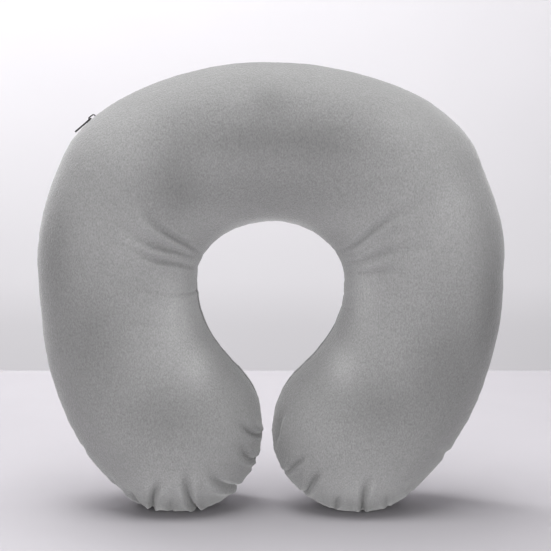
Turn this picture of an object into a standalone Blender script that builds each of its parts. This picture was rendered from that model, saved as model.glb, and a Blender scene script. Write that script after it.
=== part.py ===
"""U-shaped neck pillow: stuffed liner inside a zipped plush cover, standing on its two tips.

X is the width, Z is up and Y is the depth.  The pillow stands at Z = 0 and its front faces -Y.
"""
import math

import bmesh
import bpy
from mathutils import Matrix, Vector

# ---------------------------------------------------------------- overall sizes (metres)
WIDTH = 0.300                  # across the shoulders of the U
HEIGHT = 0.288                 # tips to the top of the back
DEPTH_RATIO = 0.90             # thickness of the stuffed tube over its width

# ---------------------------------------------------------------- outline of the flat panels
ZIP_RADIUS = 0.1958            # the zip runs on one circular arc over the top
ARC_END = math.radians(41.0)   # half the angle of that arc
WIDEST_Z = 0.1653              # height of the widest point of the outer edge
TIP_RADIUS = 0.0549            # round end of each arm
TIP_GAP = 0.0066               # clear way between the two tips
TIP_SINK = 0.0035              # how much of each round end is pressed flat on its base
TIP_OUTER = math.radians(223.5)    # where the outer edge runs into the round end
TIP_INNER = math.radians(398.0)    # where the round end runs into the inner edge
SIDE_BAND = 0.10365            # width of the tube at the neck opening's sides
BACK_BAND = 0.10140            # width of the tube over the back
HOLE_RISE = 0.03670            # height of the neck opening's rounded top
SHOULDER_PULL = (0.27, 0.30)   # how far each edge curve keeps its end directions
SIDE_PULL = (0.36, 0.37)
INNER_PULL = (0.50, 0.30)

# ---------------------------------------------------------------- layers
COVER_WALL = 0.0020            # plush with its knitted backing
LINER_WALL = 0.0007            # non-woven inner case
CLEARANCE = 0.0003             # between pieces that touch
COVER_THREAD_RADIUS = 0.0004
LINER_THREAD_RADIUS = 0.0003
ZIP_ROOM = 0.0010              # how far the liner stays in from the back of the zip
ZIP_ROOM_FADE = 2              # stations past the zip's ends over which that room closes

# ---------------------------------------------------------------- zip
SLOT_HALF = 0.0043             # half the slot left between the two panels
SLOT_END = math.radians(38.2)
SLOT_ROLL = 0.5                # least spacing of the rows beside the slot
TAPE_END = math.radians(39.6)
TAPE_LAST_ROW = math.radians(0.12)  # least angle from a tape's last row to its cut end
TAPE_HALF = 0.0120
TAPE_THICKNESS = 0.0004
TAPE_MIDDLE_GAP = 0.0004       # half the gap between the two tapes
COIL_BOTTOM = COVER_WALL       # depth of the coil's inner face, just over the tape
COIL_TOP = COIL_BOTTOM - 0.0011
COIL_HALF = 0.0022
COIL_ROOT = 0.0010             # where a coil's solid strip ends and its heads start
COIL_REACH = 0.0006            # how far a head crosses the middle
COIL_PITCH = 0.0050
STOP_LENGTH = 0.0022
STITCH_OFFSET = 0.0019         # from the panel's edge to its row of stitching
STITCH_RADIUS = 0.00025

SLIDER_ANGLE = math.radians(35.5)   # where the slider stands when the cover is closed
SLIDER_LENGTH = 0.0090
SLIDER_NOSE_HALF = 0.0037
SLIDER_TAIL_HALF = 0.0031
SLIDER_CORNER = 0.0010         # bevel of the plate's corners
SLIDER_PLATE = 0.0007
SLIDER_UNDERSIDE = COIL_TOP - CLEARANCE    # depth of the plate's underside, over the coil
SLIDER_TOP = SLIDER_PLATE - SLIDER_UNDERSIDE   # height of the plate over the panel surface
SLIDER_LIP = COVER_WALL        # depth of the two side lips, over the tape
SLIDER_LIP_WIDTH = 0.0006
BRIDGE_LENGTH = 0.0052         # arch that holds the pull
BRIDGE_HEIGHT = 0.0025         # over the plate
BRIDGE_BEND = 0.0009           # bevel of its two upper corners
BRIDGE_HALF_WIDTH = 0.0008
BRIDGE_BAR = 0.0007
PULL_LENGTH = 0.0130
PULL_HALF_WIDTH = 0.0024       # at the flared free end
PULL_WAIST_HALF = 0.0020       # at the arms
PULL_CORNER = 0.0010           # bevel of the free end
PULL_THICKNESS = 0.0008
PULL_PIN_RADIUS = 0.00042
PULL_PIN_LIFT = 0.0006         # clear height between the plate and the pull's cross pin
PULL_PIN_RECESS = 0.0001       # how far the pin's ends stay inside the arms
PULL_PIN_SIDES = 12
PULL_ARM_WIDTH = 0.0011
PULL_WINDOW = 0.0066           # length of the window the bridge passes through
PULL_END_HOLE = 0.0022         # length and half width of the hole in the free end
PULL_HOLE_HALF = 0.0010
PULL_END_BAR = 0.0014          # metal left beyond that hole
PULL_TILT = math.radians(5.0)  # the pull's free end lies this much below the slider's line

# ---------------------------------------------------------------- mesh density
ARC_STEPS = 13
SHOULDER_STEPS = 4
SIDE_STEPS = 8
TIP_STEPS = 7
RIB_STEPS = 11
THREAD_SIDES = 5
RIB_CROWDING = 1.25            # rows lie closer together near the zip
CUT_OVERLAP = 0.001            # how far a cutting body reaches past what it cuts
CURVE_SAMPLES = 400
SOFT_ANGLE = math.radians(40.0)    # edges sharper than this stay crisp on rounded pieces
CRISP_ANGLE = math.radians(30.0)   # the same on hard pieces

ARC_CENTRE = Vector((0.0, 0.0, HEIGHT - ZIP_RADIUS))
HOLE_HALF_WIDTH = WIDTH / 2 - SIDE_BAND
HOLE_TOP_Z = HEIGHT - BACK_BAND
HOLE_WIDEST_Z = HOLE_TOP_Z - HOLE_RISE


def clear_scene():
    """Start from an empty scene."""
    for item in list(bpy.data.objects):
        bpy.data.objects.remove(item, do_unlink=True)


def make_material(name, colour, roughness, metallic=0.0, sheen=0.0):
    """One Principled material."""
    material = bpy.data.materials.new(name)
    material.use_nodes = True
    shader = material.node_tree.nodes["Principled BSDF"]
    shader.inputs["Base Color"].default_value = (*colour, 1.0)
    shader.inputs["Roughness"].default_value = roughness
    shader.inputs["Metallic"].default_value = metallic
    shader.inputs["Sheen Weight"].default_value = sheen
    material.diffuse_color = (*colour, 1.0)
    return material


def finish_object(name, verts, faces, material, smooth_angle=SOFT_ANGLE):
    """Turn lists of corners and faces into one named object."""
    mesh = bpy.data.meshes.new(name)
    mesh.from_pydata([tuple(v) for v in verts], [], faces)
    work = bmesh.new()
    work.from_mesh(mesh)
    bmesh.ops.recalc_face_normals(work, faces=work.faces)
    work.to_mesh(mesh)
    work.free()
    mesh.validate()
    item = bpy.data.objects.new(name, mesh)
    bpy.context.scene.collection.objects.link(item)
    mesh.materials.append(material)
    mesh.shade_smooth()
    mesh.set_sharp_from_angle(angle=smooth_angle)
    return item


# ---------------------------------------------------------------- outline
def cubic(start, start_way, end, end_way, pull):
    """Densely sampled cubic edge curve between two points with given directions."""
    chord = (end - start).length
    first = start + start_way * (pull[0] * chord)
    second = end - end_way * (pull[1] * chord)
    points = []
    for step in range(CURVE_SAMPLES + 1):
        t = step / CURVE_SAMPLES
        s = 1.0 - t
        points.append(start * s**3 + first * (3 * s * s * t) + second * (3 * s * t * t) + end * t**3)
    return points


def along(points, share):
    """Point at a share of a sampled curve's length."""
    lengths = [0.0]
    for a, b in zip(points, points[1:]):
        lengths.append(lengths[-1] + (b - a).length)
    target = share * lengths[-1]
    for index in range(1, len(points)):
        if lengths[index] >= target:
            span = lengths[index] - lengths[index - 1]
            blend = (target - lengths[index - 1]) / span if span else 0.0
            return points[index - 1].lerp(points[index], blend)
    return points[-1].copy()


def curve_length(points):
    """Length of a sampled curve."""
    return sum((b - a).length for a, b in zip(points, points[1:]))


def flat(x, z):
    """Point in the plane of the panels."""
    return Vector((x, 0.0, z))


def on_arc(angle, radius=ZIP_RADIUS, depth=0.0):
    """Point on the zip's arc, with the angle counted from the top toward +X."""
    offset = Vector((math.sin(angle) * radius, depth, math.cos(angle) * radius))
    return ARC_CENTRE + offset


def left_half():
    """Matched stations of the outer and the inner edge, from the top centre to the left tip."""
    tip_centre = flat(-(TIP_RADIUS + TIP_GAP / 2), TIP_RADIUS - TIP_SINK)

    def tip_point(angle):
        return tip_centre + flat(math.cos(angle), math.sin(angle)) * TIP_RADIUS

    widest = flat(-WIDTH / 2, WIDEST_Z)
    arc_stop = on_arc(-ARC_END)
    shoulder = cubic(arc_stop, flat(-math.cos(ARC_END), -math.sin(ARC_END)),
                     widest, flat(0.0, -1.0), SHOULDER_PULL)
    side_way = flat(-math.sin(TIP_OUTER), math.cos(TIP_OUTER))
    side = cubic(widest, flat(0.0, -1.0), tip_point(TIP_OUTER), side_way, SIDE_PULL)

    hole_side = flat(-HOLE_HALF_WIDTH, HOLE_WIDEST_Z)
    hole_top = []
    for step in range(CURVE_SAMPLES + 1):
        angle = math.pi / 2 * step / CURVE_SAMPLES
        hole_top.append(flat(-HOLE_HALF_WIDTH * math.sin(angle),
                             HOLE_WIDEST_Z + (HOLE_TOP_Z - HOLE_WIDEST_Z) * math.cos(angle)))
    inner_way = flat(math.sin(TIP_INNER), -math.cos(TIP_INNER))
    inner = cubic(hole_side, flat(0.0, -1.0), tip_point(TIP_INNER), inner_way, INNER_PULL)

    outer_chain = []
    inner_chain = []
    arc_length = ARC_END * ZIP_RADIUS
    top_length = arc_length + curve_length(shoulder)
    for step in range(ARC_STEPS + 1):
        angle = ARC_END * step / ARC_STEPS
        outer_chain.append(on_arc(-angle))
        inner_chain.append(along(hole_top, angle * ZIP_RADIUS / top_length))
    for step in range(1, SHOULDER_STEPS + 1):
        share = step / SHOULDER_STEPS
        run = arc_length + share * (top_length - arc_length)
        outer_chain.append(along(shoulder, share))
        inner_chain.append(along(hole_top, run / top_length))
    for step in range(1, SIDE_STEPS + 1):
        outer_chain.append(along(side, step / SIDE_STEPS))
        inner_chain.append(along(inner, step / SIDE_STEPS))
    pole = (TIP_OUTER + TIP_INNER) / 2
    for step in range(1, TIP_STEPS + 1):
        share = step / TIP_STEPS
        outer_chain.append(tip_point(TIP_OUTER + (pole - TIP_OUTER) * share))
        inner_chain.append(tip_point(TIP_INNER + (pole - TIP_INNER) * share))
    return outer_chain, inner_chain


def mirrored(point):
    """The same point on the other side of the pillow."""
    return Vector((-point.x, point.y, point.z))


def both_halves():
    """Outer and inner stations from the left tip, over the back, to the right tip."""
    outer_left, inner_left = left_half()
    outer = outer_left[::-1] + [mirrored(p) for p in outer_left[1:]]
    inner = inner_left[::-1] + [mirrored(p) for p in inner_left[1:]]
    return outer, inner


OUTER, INNER = both_halves()
LAST = len(OUTER) - 1
MIDDLE = LAST // 2


def shrink(inset):
    """Both edges moved inward by a distance, as two matched lists."""
    loop = OUTER + INNER[-2:0:-1]
    count = len(loop)
    moved = []
    for index, point in enumerate(loop):
        way = (loop[(index + 1) % count] - loop[index - 1]).normalized()
        moved.append(point + flat(way.z, -way.x) * inset)
    outer = moved[:LAST + 1]
    inner = [moved[0]] + moved[:LAST:-1] + [moved[LAST]]
    return outer, inner


def station_angle(index):
    """Angle of a station on the zip's arc; stations off the arc get None."""
    step = index - MIDDLE
    return ARC_END * step / ARC_STEPS if abs(step) <= ARC_STEPS else None


def near_zip(index):
    """1 at stations behind the zip, fading to 0 past its ends."""
    past = abs(index - MIDDLE) - ARC_STEPS
    return min(1.0, max(0.0, 1.0 - past / ZIP_ROOM_FADE))


def rib_share(step):
    """Share of the way round a rib from the outer edge to the inner edge."""
    return (step / RIB_STEPS) ** RIB_CROWDING


def rib_point(station, outer, inner, turn, edge, side, base):
    """Point on the stuffed section at one station, at a turn from the outer edge."""
    middle = (outer[station] + inner[station]) / 2
    half = (outer[station] - inner[station]) / 2
    bulge = max(DEPTH_RATIO * half.length - edge, 0.0)
    point = middle + half * math.cos(turn)
    point.y = side * (edge + bulge * math.sin(turn))
    point.z = max(point.z, base)
    return point


def start_turn(station, outer, inner, edge, slot):
    """Turn at which a panel starts: at the seam, or at the edge of the zip's slot."""
    angle = station_angle(station)
    if not slot or angle is None or abs(angle) > SLOT_END:
        return 0.0
    half = (outer[station] - inner[station]).length / 2
    return math.asin((SLOT_HALF - edge) / (DEPTH_RATIO * half - edge))


def skin(inset, edge, side, slot, extra):
    """Rows of points of one face of a panel; a tip is one point."""
    outer, inner = shrink(inset)
    rows = []
    for station in range(LAST + 1):
        if station in (0, LAST):
            pole = outer[station].copy()
            pole.y = side * edge
            pole.z = max(pole.z, inset)
            rows.append([pole])
            continue
        first = start_turn(station, outer, inner, edge, slot)
        row = []
        for step in range(RIB_STEPS + 1):
            turn = max(math.pi * rib_share(step), first * (1.0 + SLOT_ROLL * step))
            point = rib_point(station, outer, inner, turn, edge, side, inset)
            dip = extra * near_zip(station) * max(0.0, math.cos(turn)) ** 2
            away = (outer[station] - inner[station]).normalized()
            row.append(point - away * dip)
        rows.append(row)
    return rows


def skin_faces(rows, verts):
    """Add one skin's points and faces; returns the faces and the loop of its rim."""
    index_rows = []
    for row in rows:
        start = len(verts)
        verts.extend(row)
        index_rows.append(list(range(start, start + len(row))))
    faces = []
    for station, (low, high) in enumerate(zip(index_rows, index_rows[1:])):
        if len(low) == 1:
            faces.extend((low[0], high[k + 1], high[k]) for k in range(len(high) - 1))
            continue
        if len(high) == 1:
            faces.extend((high[0], low[k], low[k + 1]) for k in range(len(low) - 1))
            continue
        for k in range(len(low) - 1):
            a, b, c, d = low[k], low[k + 1], high[k + 1], high[k]
            if station < MIDDLE:
                faces.extend([(a, b, c), (a, c, d)])
            else:
                faces.extend([(a, b, d), (b, c, d)])
    outer_rim = [row[0] for row in index_rows]
    inner_rim = [row[-1] for row in index_rows[-2:0:-1]]
    return faces, outer_rim + inner_rim


def make_panel(name, inset, wall, edge, side, material, slot=False, extra=0.0):
    """One sewn panel: a face, its back and the strip that closes them along the seam."""
    verts = []
    outside, rim_out = skin_faces(skin(inset, edge, side, slot, extra), verts)
    inside, rim_in = skin_faces(skin(inset + wall, edge, side, slot, extra), verts)
    faces = outside + [face[::-1] for face in inside]
    count = len(rim_out)
    for k in range(count):
        n = (k + 1) % count
        faces.append((rim_out[k], rim_out[n], rim_in[n], rim_in[k]))
    return finish_object(name, verts, faces, material)


def make_fill(name, inset, material, extra):
    """The fibre filling: both halves of the stuffed tube joined along the middle."""
    verts = []
    front, rim_front = skin_faces(skin(inset, 0.0, -1, False, extra), verts)
    back, rim_back = skin_faces(skin(inset, 0.0, 1, False, extra), verts)
    same = dict(zip(rim_back, rim_front))
    faces = front + [tuple(same.get(v, v) for v in face[::-1]) for face in back]
    used = sorted({v for face in faces for v in face})
    place = {old: new for new, old in enumerate(used)}
    faces = [tuple(place[v] for v in face) for face in faces]
    return finish_object(name, [verts[v] for v in used], faces, material)


# ---------------------------------------------------------------- swept pieces
def sweep(name, rings, material, closed=False):
    """Closed body through a list of equal rings of points."""
    verts = [point for ring in rings for point in ring]
    size = len(rings[0])
    count = len(rings)
    faces = []
    for r in range(count if closed else count - 1):
        low = r * size
        high = ((r + 1) % count) * size
        for k in range(size):
            n = (k + 1) % size
            faces.append((low + k, low + n, high + n, high + k))
    if not closed:
        faces.append(tuple(range(size))[::-1])
        faces.append(tuple(range((count - 1) * size, count * size)))
    return finish_object(name, verts, faces, material)


def thread_rings(path, radius, closed):
    """Round rings along a path that lies in a plane of constant depth or nearly so."""
    count = len(path)
    rings = []
    for index, point in enumerate(path):
        before = path[index - 1] if closed or index else point
        after = path[(index + 1) % count] if closed or index < count - 1 else point
        way = (after - before).normalized()
        across = Vector((0.0, 1.0, 0.0))
        across = (across - way * across.dot(way)).normalized()
        up = way.cross(across)
        ring = []
        for k in range(THREAD_SIDES):
            turn = 2 * math.pi * k / THREAD_SIDES
            ring.append(point + across * (radius * math.cos(turn)) + up * (radius * math.sin(turn)))
        rings.append(ring)
    return rings


def seam_loop(inset):
    """Path of a seam round the whole edge at a given inset."""
    outer, inner = shrink(inset)
    loop = outer + inner[-2:0:-1]
    return [flat(p.x, max(p.z, inset)) for p in loop]


def make_cover_seam(material):
    """Sewing line of the cover, from one end of the zip round both tips to the other end."""
    loop = seam_loop(COVER_WALL / 2)
    first = MIDDLE + ARC_STEPS
    last = MIDDLE - ARC_STEPS + len(loop)
    path = [loop[k % len(loop)] for k in range(first, last + 1)]
    return sweep("cover_seam_thread", thread_rings(path, COVER_THREAD_RADIUS, False), material)


def make_liner_seam(inset, material):
    """Sewing line of the liner, a closed loop."""
    loop = seam_loop(inset + LINER_WALL / 2)
    outer_count = LAST + 1
    away = [(OUTER[k] - INNER[k]).normalized() if 0 < k < LAST else flat(0, 0)
            for k in range(outer_count)]
    for k in range(outer_count):
        loop[k] -= away[k] * ZIP_ROOM * near_zip(k)
    return sweep("liner_seam_thread", thread_rings(loop, LINER_THREAD_RADIUS, True), material, True)


# ---------------------------------------------------------------- zip
def section_drop(depth_y):
    """How far the rounded edge has fallen at a distance from the middle plane."""
    half = (OUTER[MIDDLE] - INNER[MIDDLE]).length / 2
    share = min(depth_y / (DEPTH_RATIO * half), 1.0)
    return half * (1.0 - math.sqrt(1.0 - share * share))


def arc_angles(end, steps):
    """Evenly spaced angles between the two ends of a strip."""
    return [end * (2 * k / steps - 1) for k in range(steps + 1)]


def make_tape(name, side, material):
    """Woven tape under one panel's edge."""
    columns = [TAPE_MIDDLE_GAP, SLOT_HALF, (SLOT_HALF + TAPE_HALF) / 2, TAPE_HALF]
    top = COVER_WALL + CLEARANCE
    last_row = TAPE_END - TAPE_LAST_ROW
    inner_angles = [station_angle(k) for k in range(MIDDLE - ARC_STEPS + 1, MIDDLE + ARC_STEPS)]
    angles = [-TAPE_END] + [a for a in inner_angles if abs(a) < last_row] + [TAPE_END]
    rings = []
    for angle in angles:
        upper = [on_arc(angle, ZIP_RADIUS - top - section_drop(c), side * c) for c in columns]
        lower = [on_arc(angle, ZIP_RADIUS - top - TAPE_THICKNESS - section_drop(c), side * c)
                 for c in columns]
        rings.append(upper + lower[::-1])
    return sweep(name, rings, material)


def make_coil(name, side, lead, start, end, material):
    """One coil: a strip with heads that mesh with the other coil's heads."""
    pitch = COIL_PITCH / ZIP_RADIUS
    head = pitch / 2 - CLEARANCE / ZIP_RADIUS
    high = ZIP_RADIUS - COIL_TOP
    low = ZIP_RADIUS - COIL_BOTTOM
    count = int((end - start - head) / pitch)
    cuts = []
    for k in range(count):
        base = start + lead * pitch + k * pitch
        cuts.append((base, True))
        cuts.append((base + head, False))
    cuts = [c for c in cuts if c[0] < end]
    if cuts[0][0] > start:
        cuts.insert(0, (start, False))
    cuts.append((end, False))
    verts = []
    faces = []

    def corner_set(angle):
        base = len(verts)
        for y in (COIL_HALF, COIL_ROOT):
            verts.append(on_arc(angle, high, side * y))
            verts.append(on_arc(angle, low, side * y))
        return base

    bases = [corner_set(angle) for angle, _ in cuts]
    faces.append((bases[0], bases[0] + 1, bases[0] + 3, bases[0] + 2))
    for k in range(len(cuts) - 1):
        a = bases[k]
        b = bases[k + 1]
        faces.append((a, b, b + 1, a + 1))
        faces.append((a, a + 2, b + 2, b))
        faces.append((a + 1, b + 1, b + 3, a + 3))
        if not cuts[k][1]:
            faces.append((a + 2, a + 3, b + 3, b + 2))
            continue
        tip = len(verts)
        for angle, _ in (cuts[k], cuts[k + 1]):
            verts.append(on_arc(angle, high, -side * COIL_REACH))
            verts.append(on_arc(angle, low, -side * COIL_REACH))
        faces.append((a + 2, tip, tip + 2, b + 2))
        faces.append((a + 3, b + 3, tip + 3, tip + 1))
        faces.append((a + 2, a + 3, tip + 1, tip))
        faces.append((b + 2, tip + 2, tip + 3, b + 3))
        faces.append((tip, tip + 1, tip + 3, tip + 2))
    z = bases[-1]
    faces.append((z, z + 2, z + 3, z + 1))
    return finish_object(name, verts, faces, material, CRISP_ANGLE)


def make_block(name, start, end, near, far, high, low, material):
    """Small block that follows the arc, between two angles and two depths."""
    rings = []
    for angle in (start, (start + end) / 2, end):
        rings.append([on_arc(angle, ZIP_RADIUS + high, near), on_arc(angle, ZIP_RADIUS + high, far),
                      on_arc(angle, ZIP_RADIUS + low, far), on_arc(angle, ZIP_RADIUS + low, near)])
    return sweep(name, rings, material)


def make_stitch_row(name, side, material):
    """Row of sewing beside the slot, lying on the panel."""
    column = SLOT_HALF + STITCH_OFFSET
    lift = STITCH_RADIUS + CLEARANCE - section_drop(column)
    path = [on_arc(station_angle(k), ZIP_RADIUS + lift, side * column)
            for k in range(MIDDLE - ARC_STEPS + 1, MIDDLE + ARC_STEPS)]
    return sweep(name, thread_rings(path, STITCH_RADIUS, False), material)


# ---------------------------------------------------------------- slider and pull
def prism(name, outline, axis_depths, material=None):
    """Upright body from an outline in (along, height) between two depths."""
    verts = []
    for depth in axis_depths:
        verts.extend(Vector((u, depth, h)) for u, h in outline)
    size = len(outline)
    faces = [tuple(range(size)), tuple(range(size, 2 * size))[::-1]]
    for k in range(size):
        n = (k + 1) % size
        faces.append((k, k + size, n + size, n))
    return finish_object(name, verts, faces, material, CRISP_ANGLE)


def combine(target, other, operation):
    """Exact Boolean that leaves only the target."""
    step = target.modifiers.new(operation.lower(), "BOOLEAN")
    step.operation = operation
    step.solver = "EXACT"
    step.object = other
    bpy.context.view_layer.update()
    graph = bpy.context.evaluated_depsgraph_get()
    result = bpy.data.meshes.new_from_object(target.evaluated_get(graph))
    target.modifiers.remove(step)
    old = target.data
    target.data = result
    bpy.data.meshes.remove(old)
    bpy.data.objects.remove(other, do_unlink=True)


def slider_plate_outline():
    """Plate seen from above, as (along, depth) corners; its nose is the wide end."""
    half = SLIDER_LENGTH / 2
    cut = SLIDER_CORNER
    return [(-half, -SLIDER_NOSE_HALF + cut), (-half + cut, -SLIDER_NOSE_HALF),
            (0.0, -SLIDER_NOSE_HALF), (half - cut, -SLIDER_TAIL_HALF),
            (half, -SLIDER_TAIL_HALF + cut), (half, SLIDER_TAIL_HALF - cut),
            (half - cut, SLIDER_TAIL_HALF), (0.0, SLIDER_NOSE_HALF),
            (-half + cut, SLIDER_NOSE_HALF), (-half, SLIDER_NOSE_HALF - cut)]


def level_body(name, outline, low, high, material):
    """Flat body from an outline in (along, depth) between two heights."""
    verts = []
    for height in (low, high):
        verts.extend(Vector((u, y, height)) for u, y in outline)
    size = len(outline)
    faces = [tuple(range(size)), tuple(range(size, 2 * size))[::-1]]
    for k in range(size):
        n = (k + 1) % size
        faces.append((k, k + size, n + size, n))
    return finish_object(name, verts, faces, material, CRISP_ANGLE)


def arch_outline(length, height, bar):
    """Side view of the bridge: a low arch with two feet, open in the middle."""
    half = length / 2
    foot = (SLIDER_TOP - SLIDER_UNDERSIDE) / 2
    bend = BRIDGE_BEND
    return [(-half, foot), (-half, height - bend), (-half + bend, height),
            (half - bend, height), (half, height - bend), (half, foot),
            (half - bar, foot), (half - bar, height - bar - bend / 2),
            (half - bar - bend / 2, height - bar), (-half + bar + bend / 2, height - bar),
            (-half + bar, height - bar - bend / 2), (-half + bar, foot)]


def make_slider(material):
    """Slider body: plate, two side lips over the tapes and the bridge for the pull."""
    body = level_body("zip_slider_body", slider_plate_outline(), -SLIDER_LIP, SLIDER_TOP, material)
    half = SLIDER_LENGTH / 2
    inner_nose = SLIDER_NOSE_HALF - SLIDER_LIP_WIDTH
    inner_tail = SLIDER_TAIL_HALF - SLIDER_LIP_WIDTH
    over = CUT_OVERLAP
    channel = [(-half - over, -inner_nose), (0.0, -inner_nose), (half + over, -inner_tail),
               (half + over, inner_tail), (0.0, inner_nose), (-half - over, inner_nose)]
    cutter = level_body("channel", channel, -SLIDER_LIP - over, -SLIDER_UNDERSIDE, material)
    combine(body, cutter, "DIFFERENCE")
    arch = prism("bridge", arch_outline(BRIDGE_LENGTH, SLIDER_TOP + BRIDGE_HEIGHT, BRIDGE_BAR),
                 (-BRIDGE_HALF_WIDTH, BRIDGE_HALF_WIDTH), material)
    combine(body, arch, "UNION")
    place_on_arc(body)
    return body


def pin_offset():
    """Where the pull turns, seen from the slider's middle: at the nose end under the bridge."""
    room = BRIDGE_LENGTH / 2 - BRIDGE_BAR - PULL_PIN_RADIUS - CLEARANCE
    height = SLIDER_TOP + PULL_PIN_RADIUS + PULL_PIN_LIFT
    return -room, height


def place_on_arc(item):
    """Bake a slider-frame body into place, with its origin on the arc's centre."""
    turn = Matrix.Rotation(-SLIDER_ANGLE, 4, "Y")
    item.data.transform(turn @ Matrix.Translation((0.0, 0.0, ZIP_RADIUS)))
    item.location = ARC_CENTRE


def round_outline(radius, steps):
    """Corners of a circle in (along, height)."""
    turns = [2 * math.pi * k / steps for k in range(steps)]
    return [(radius * math.cos(turn), radius * math.sin(turn)) for turn in turns]


def make_pull(material):
    """Pull tab: two arms, a cross pin under the bridge and a flared end with a hole."""
    thick = PULL_THICKNESS / 2
    waist = PULL_WAIST_HALF
    corner = PULL_CORNER
    plate = [(PULL_PIN_RADIUS, -waist), (PULL_PIN_RADIUS, waist), (-PULL_WINDOW, waist),
             (-PULL_LENGTH + corner * 2, PULL_HALF_WIDTH), (-PULL_LENGTH + corner, PULL_HALF_WIDTH),
             (-PULL_LENGTH, PULL_HALF_WIDTH - corner), (-PULL_LENGTH, -PULL_HALF_WIDTH + corner),
             (-PULL_LENGTH + corner, -PULL_HALF_WIDTH), (-PULL_LENGTH + corner * 2, -PULL_HALF_WIDTH),
             (-PULL_WINDOW, -waist)]
    body = level_body("zip_pull_tab", plate, -thick, thick, material)
    gap = waist - (PULL_ARM_WIDTH - CLEARANCE)
    over = CUT_OVERLAP
    window = [(PULL_PIN_RADIUS + over, -gap), (PULL_PIN_RADIUS + over, gap),
              (-PULL_WINDOW, gap), (-PULL_WINDOW, -gap)]
    combine(body, level_body("window", window, -over, over, material), "DIFFERENCE")
    hole_far = PULL_LENGTH - PULL_END_BAR
    hole_near = hole_far - PULL_END_HOLE
    hole = [(-hole_near, -PULL_HOLE_HALF), (-hole_near, PULL_HOLE_HALF),
            (-hole_far, PULL_HOLE_HALF), (-hole_far, -PULL_HOLE_HALF)]
    combine(body, level_body("hole", hole, -over, over, material), "DIFFERENCE")
    reach = waist - PULL_PIN_RECESS
    pin = prism("pin", round_outline(PULL_PIN_RADIUS, PULL_PIN_SIDES), (-reach, reach), material)
    combine(body, pin, "UNION")
    along_plate, height = pin_offset()
    turn = Matrix.Rotation(-SLIDER_ANGLE, 4, "Y")
    body.data.transform(turn @ Matrix.Rotation(-PULL_TILT, 4, "Y"))
    body.location = ARC_CENTRE + turn.to_3x3() @ Vector((along_plate, 0.0, ZIP_RADIUS + height))
    return body


# ---------------------------------------------------------------- build
def build():
    """Make every piece of the pillow."""
    clear_scene()
    plush = make_material("grey_plush", (0.30, 0.30, 0.30), 0.95, sheen=0.4)
    lining = make_material("white_nonwoven", (0.80, 0.80, 0.78), 0.9)
    fibre = make_material("white_fibre", (0.88, 0.88, 0.86), 1.0)
    thread = make_material("grey_thread", (0.26, 0.26, 0.26), 0.8)
    white_thread = make_material("white_thread", (0.82, 0.82, 0.80), 0.8)
    weave = make_material("grey_tape", (0.22, 0.22, 0.22), 0.85)
    nylon = make_material("grey_nylon", (0.20, 0.20, 0.20), 0.45)
    metal = make_material("dark_metal", (0.05, 0.05, 0.05), 0.35, metallic=0.9)

    cover_edge = COVER_THREAD_RADIUS + CLEARANCE
    liner_edge = LINER_THREAD_RADIUS + CLEARANCE
    liner_inset = COVER_WALL + CLEARANCE
    fill_inset = liner_inset + LINER_WALL + CLEARANCE
    for side, word in ((-1, "front"), (1, "back")):
        make_panel("cover_" + word + "_panel", 0.0, COVER_WALL, cover_edge, side, plush, slot=True)
        make_panel("liner_" + word + "_panel", liner_inset, LINER_WALL, liner_edge, side, lining,
                   extra=ZIP_ROOM)
        make_tape("zip_tape_" + word, side, weave)
        make_stitch_row("zip_stitch_" + word, side, thread)
    make_fill("fibre_fill", fill_inset, fibre, ZIP_ROOM)
    make_cover_seam(thread)
    make_liner_seam(liner_inset, white_thread)

    gap = CLEARANCE / ZIP_RADIUS
    stop_length = STOP_LENGTH / ZIP_RADIUS
    nose = -SLIDER_ANGLE - SLIDER_LENGTH / 2 / ZIP_RADIUS
    top_stop_end = nose - gap
    chain_start = nose + gap
    chain_end = SLOT_END - stop_length - gap
    make_coil("zip_coil_front", -1, 0.0, chain_start, chain_end, nylon)
    make_coil("zip_coil_back", 1, 0.5, chain_start, chain_end, nylon)
    for side, word in ((-1, "front"), (1, "back")):
        make_block("zip_top_stop_" + word, top_stop_end - stop_length, top_stop_end,
                   side * COIL_ROOT, side * COIL_HALF, -COIL_TOP, -COIL_BOTTOM, metal)
    make_block("zip_bottom_stop", chain_end + gap, chain_end + gap + stop_length,
               -COIL_HALF, COIL_HALF, -COIL_TOP, -COIL_BOTTOM, metal)
    make_slider(metal)
    make_pull(metal)


build()
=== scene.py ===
"""U-shaped neck pillow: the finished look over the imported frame.  Metres, +Z up, front towards -Y."""
import math

import bpy
import numpy as np
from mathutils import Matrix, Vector, noise


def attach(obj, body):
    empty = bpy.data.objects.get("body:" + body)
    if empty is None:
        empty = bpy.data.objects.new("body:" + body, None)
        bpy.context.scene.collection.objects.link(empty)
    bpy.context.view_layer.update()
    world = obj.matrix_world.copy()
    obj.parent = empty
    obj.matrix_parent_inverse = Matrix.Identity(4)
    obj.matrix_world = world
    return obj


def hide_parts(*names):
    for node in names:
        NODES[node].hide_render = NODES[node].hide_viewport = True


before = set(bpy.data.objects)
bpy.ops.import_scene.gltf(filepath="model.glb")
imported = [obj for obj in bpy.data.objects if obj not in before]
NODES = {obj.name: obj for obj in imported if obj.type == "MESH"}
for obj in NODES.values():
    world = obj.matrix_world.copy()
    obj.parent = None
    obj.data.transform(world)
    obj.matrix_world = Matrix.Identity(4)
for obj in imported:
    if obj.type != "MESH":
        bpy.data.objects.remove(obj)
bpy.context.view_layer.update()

# ---------------------------------------------------------------- sizes repeated from the part
ZIP_RADIUS = 0.1958
ZIP_CENTRE_Z = 0.0922
SLOT_END = math.radians(38.2)
SLIDER_ANGLE = math.radians(35.5)
COIL_TOP = 0.0009
COIL_BOTTOM = 0.0020
DEPTH_RATIO = 0.90
ABOVE_ARMS = 0.2       # the zip is only above this height

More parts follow.
